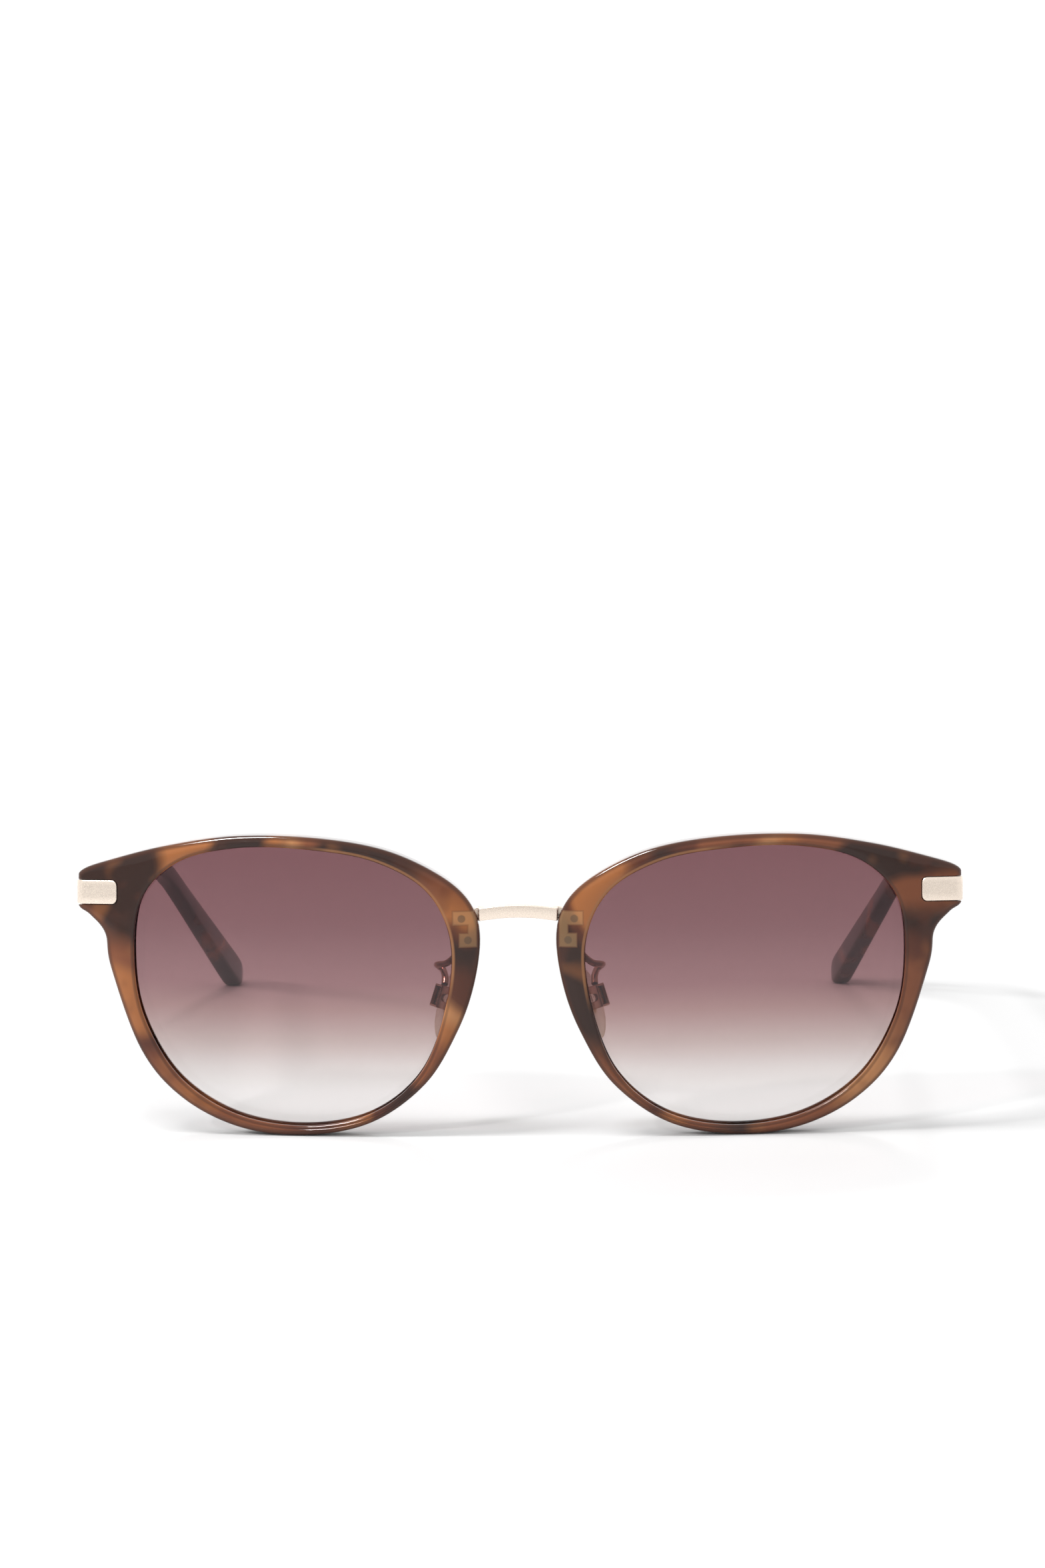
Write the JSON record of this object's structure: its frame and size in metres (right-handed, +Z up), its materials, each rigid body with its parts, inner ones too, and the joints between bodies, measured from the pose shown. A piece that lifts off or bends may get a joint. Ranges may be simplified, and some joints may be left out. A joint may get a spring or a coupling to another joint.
{
  "type": "cat eye sunglasses",
  "caption": "Rounded cat eye sunglasses with tortoise acetate rims, metal bridge and end caps, gradient lenses, rocking nose pads and folding temples.",
  "frame": {"origin": "centre of the box's footprint, on the table that the rims and the temple tips stand on", "axes": "-Y the way the lenses face, +Z up, +X the wearer's left; the shape is the same on both sides of X = 0"},
  "size_m": [0.1414, 0.1391, 0.0483],
  "materials": {
    "acetate": "glossy translucent tortoise acetate",
    "lens": "gradient mauve-brown tint, polished",
    "temple_acetate": "dark tortoise acetate, polished",
    "gold_metal": "champagne gold plated, polished",
    "steel": "bright steel",
    "pad_clear": "clear silicone",
    "pad_gold": "gold plated"
  },
  "bodies": {
    "front": {"left_rim": "acetate", "right_rim": "acetate", "left_lens": "lens", "right_lens": "lens", "bridge": "gold_metal", "bridge_rivets": "gold_metal", "left_pad_arm": "gold_metal", "right_pad_arm": "gold_metal", "left_pad_screw": "steel", "right_pad_screw": "steel", "left_end_cap": "gold_metal", "right_end_cap": "gold_metal", "left_front_hinge": "steel", "right_front_hinge": "steel", "left_front_hinge_pins": "steel", "right_front_hinge_pins": "steel", "left_hinge_screw": "steel", "right_hinge_screw": "steel"},
    "left_temple_body": {"left_temple": "temple_acetate", "left_temple_core": "steel", "left_temple_hinge": "steel", "left_temple_hinge_pins": "steel"},
    "left_pad_body": {"left_nose_pad": "pad_clear", "left_pad_insert": "pad_gold"},
    "right_temple_body": {"right_temple": "temple_acetate", "right_temple_core": "steel", "right_temple_hinge": "steel", "right_temple_hinge_pins": "steel"},
    "right_pad_body": {"right_nose_pad": "pad_clear", "right_pad_insert": "pad_gold"}
  },
  "joints": [
    {"name": "left_temple_fold", "type": "hinge", "parent": "front", "child": "left_temple_body", "pos_m": [0.0657, -0.05218, 0.03765], "axis": [0, 0.1045, 0.9945], "range_deg": [0, 88]},
    {"name": "right_temple_fold", "type": "hinge", "parent": "front", "child": "right_temple_body", "pos_m": [-0.0657, -0.05218, 0.03765], "axis": [0, -0.1045, -0.9945], "range_deg": [0, 83]},
    {"name": "left_pad_rock", "type": "hinge", "parent": "front", "child": "left_pad_body", "pos_m": [0.01232, -0.06118, 0.02131], "axis": [0.5, 0.866, 0], "range_deg": [-8, 8]},
    {"name": "right_pad_rock", "type": "hinge", "parent": "front", "child": "right_pad_body", "pos_m": [-0.01232, -0.06118, 0.02131], "axis": [0.5, -0.866, 0], "range_deg": [-8, 8]}
  ]
}
